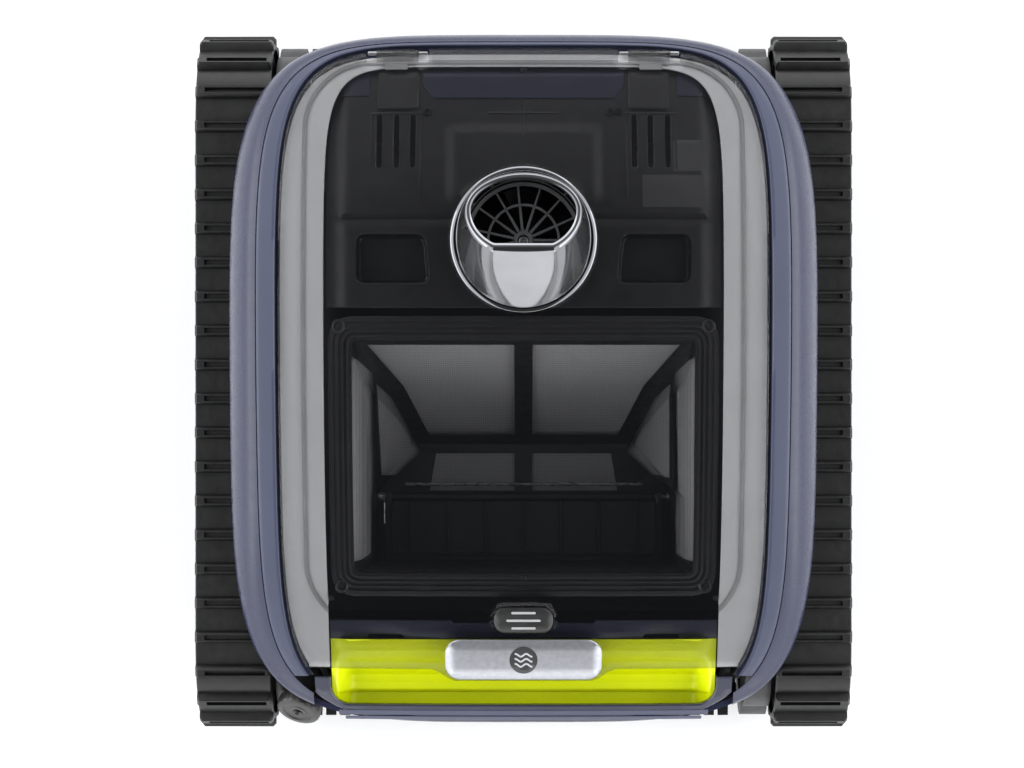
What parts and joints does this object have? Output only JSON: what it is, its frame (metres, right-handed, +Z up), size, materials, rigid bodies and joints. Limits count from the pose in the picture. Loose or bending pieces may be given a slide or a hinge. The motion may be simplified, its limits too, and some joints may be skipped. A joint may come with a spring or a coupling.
{
  "type": "robotic pool cleaner",
  "caption": "Tracked robotic pool cleaner: navy shell and black hull between rubber tracks, clear hinged lid over a filter basket, tilted water outlet, yellow grip behind the handle.",
  "frame": {"origin": "on the floor, under the middle of the tracks", "axes": "+X to the cleaner's right seen from above with the handle at the front, +Y to the rear, +Z up"},
  "size_m": [0.408, 0.4402, 0.238],
  "materials": {
    "navy_plastic": "gloss",
    "black_plastic": "satin",
    "hood_plastic": "satin",
    "wheel_plastic": "matte",
    "track_rubber": "matte",
    "brush_rubber": "matte",
    "seal_rubber": "matte",
    "grey_plastic": "satin",
    "yellow_plastic": "satin",
    "lid_clear": "gloss",
    "nozzle_chrome": "polished",
    "plate_silver": "satin",
    "steel": "satin",
    "filter_fabric": "woven",
    "gear_acetal": "satin",
    "circuit_board": "satin"
  },
  "bodies": {
    "chassis": {"hull": "black_plastic", "bottom_plate": "black_plastic", "left_side_frame": "black_plastic", "right_side_frame": "black_plastic", "left_side_cover": "navy_plastic", "right_side_cover": "navy_plastic", "left_track": "track_rubber", "right_track": "track_rubber", "shell": "navy_plastic", "side_rail": "navy_plastic", "carry_handle": "navy_plastic", "handle_scoop": "yellow_plastic", "cross_bar": "navy_plastic", "deck": "grey_plastic", "lid_seal": "seal_rubber", "hood": "hood_plastic", "outlet_guard": "black_plastic", "motor_case": "black_plastic", "motor_case_cover": "black_plastic", "pump_motor": "steel", "left_drive_motor": "steel", "right_drive_motor": "steel", "control_board": "circuit_board", "left_front_axle": "steel", "left_rear_axle": "steel", "right_front_axle": "steel", "right_rear_axle": "steel", "filter_basket": "black_plastic", "filter_mesh": "filter_fabric", "flap_pin": "steel", "flap_spring": "steel", "left_hinge_pin": "steel", "right_hinge_pin": "steel", "cable_gland": "black_plastic", "gland_nut": "grey_plastic"},
    "lid": {"lid": "lid_clear", "outlet_nozzle": "nozzle_chrome"},
    "latch_plate": {"latch_plate": "plate_silver"},
    "latch_button": {"latch_button": "black_plastic"},
    "propeller": {"propeller": "black_plastic", "pump_shaft": "steel"},
    "inlet_flap": {"inlet_flap": "hood_plastic"},
    "left_front_wheel": {"left_front_wheel": "wheel_plastic", "left_front_wheel_gear": "gear_acetal"},
    "left_rear_wheel": {"left_rear_wheel": "wheel_plastic", "left_rear_wheel_gear": "gear_acetal"},
    "right_front_wheel": {"right_front_wheel": "wheel_plastic"},
    "right_rear_wheel": {"right_rear_wheel": "wheel_plastic", "right_rear_wheel_gear": "gear_acetal"},
    "left_motor_pinion": {"left_motor_pinion": "gear_acetal"},
    "right_motor_pinion": {"right_motor_pinion": "gear_acetal"},
    "front_brush": {"front_brush": "brush_rubber", "front_brush_shaft": "steel", "front_brush_gear": "gear_acetal"},
    "rear_brush": {"rear_brush": "brush_rubber", "rear_brush_shaft": "steel", "rear_brush_gear": "gear_acetal"}
  },
  "joints": [
    {"name": "lid_open", "type": "hinge", "parent": "chassis", "child": "lid", "pos_m": [0, 0.1984, 0.16343], "axis": [-1, 0, 0], "range_deg": [0, 95]},
    {"name": "latch_lift", "type": "hinge", "parent": "lid", "child": "latch_plate", "pos_m": [0, -0.1585, 0.15374], "axis": [-1, 0, 0], "range_deg": [0, 30], "stiffness_Nm_per_rad": 0.05},
    {"name": "button_press", "type": "slide", "parent": "lid", "child": "latch_button", "axis": [0, 0, -1], "range_m": [0, 0.0015], "stiffness_N_per_m": 400},
    {"name": "propeller_spin", "type": "hinge", "parent": "chassis", "child": "propeller", "pos_m": [0, 0.0845, 0.15], "axis": [0, 0, 1], "continuous": true},
    {"name": "flap_swing", "type": "hinge", "parent": "chassis", "child": "inlet_flap", "pos_m": [0, -0.073, 0.066], "axis": [-1, 0, 0], "range_deg": [0, 50], "stiffness_Nm_per_rad": 0.03},
    {"name": "left_drive", "type": "hinge", "parent": "chassis", "child": "left_rear_wheel", "pos_m": [0, 0.1632, 0.057], "axis": [1, 0, 0], "continuous": true},
    {"name": "left_front_spin", "type": "hinge", "parent": "chassis", "child": "left_front_wheel", "pos_m": [0, -0.1632, 0.057], "axis": [1, 0, 0], "continuous": true},
    {"name": "left_motor_spin", "type": "hinge", "parent": "chassis", "child": "left_motor_pinion", "pos_m": [0, 0.13563, 0.07117], "axis": [1, 0, 0], "continuous": true},
    {"name": "front_brush_spin", "type": "hinge", "parent": "chassis", "child": "front_brush", "pos_m": [0, -0.18545, 0.03263], "axis": [1, 0, 0], "continuous": true},
    {"name": "right_drive", "type": "hinge", "parent": "chassis", "child": "right_rear_wheel", "pos_m": [0, 0.1632, 0.057], "axis": [1, 0, 0], "continuous": true},
    {"name": "right_front_spin", "type": "hinge", "parent": "chassis", "child": "right_front_wheel", "pos_m": [0, -0.1632, 0.057], "axis": [1, 0, 0], "continuous": true},
    {"name": "right_motor_spin", "type": "hinge", "parent": "chassis", "child": "right_motor_pinion", "pos_m": [0, 0.13563, 0.07117], "axis": [1, 0, 0], "continuous": true},
    {"name": "rear_brush_spin", "type": "hinge", "parent": "chassis", "child": "rear_brush", "pos_m": [0, 0.18545, 0.03263], "axis": [1, 0, 0], "continuous": true}
  ],
  "couplings": [
    {"joint": "left_front_spin", "follows": "left_drive", "ratio": 1},
    {"joint": "left_motor_spin", "follows": "left_drive", "ratio": -2.4444},
    {"joint": "front_brush_spin", "follows": "left_drive", "ratio": -2},
    {"joint": "right_front_spin", "follows": "right_drive", "ratio": 1},
    {"joint": "right_motor_spin", "follows": "right_drive", "ratio": -2.4444},
    {"joint": "rear_brush_spin", "follows": "right_drive", "ratio": -2}
  ]
}
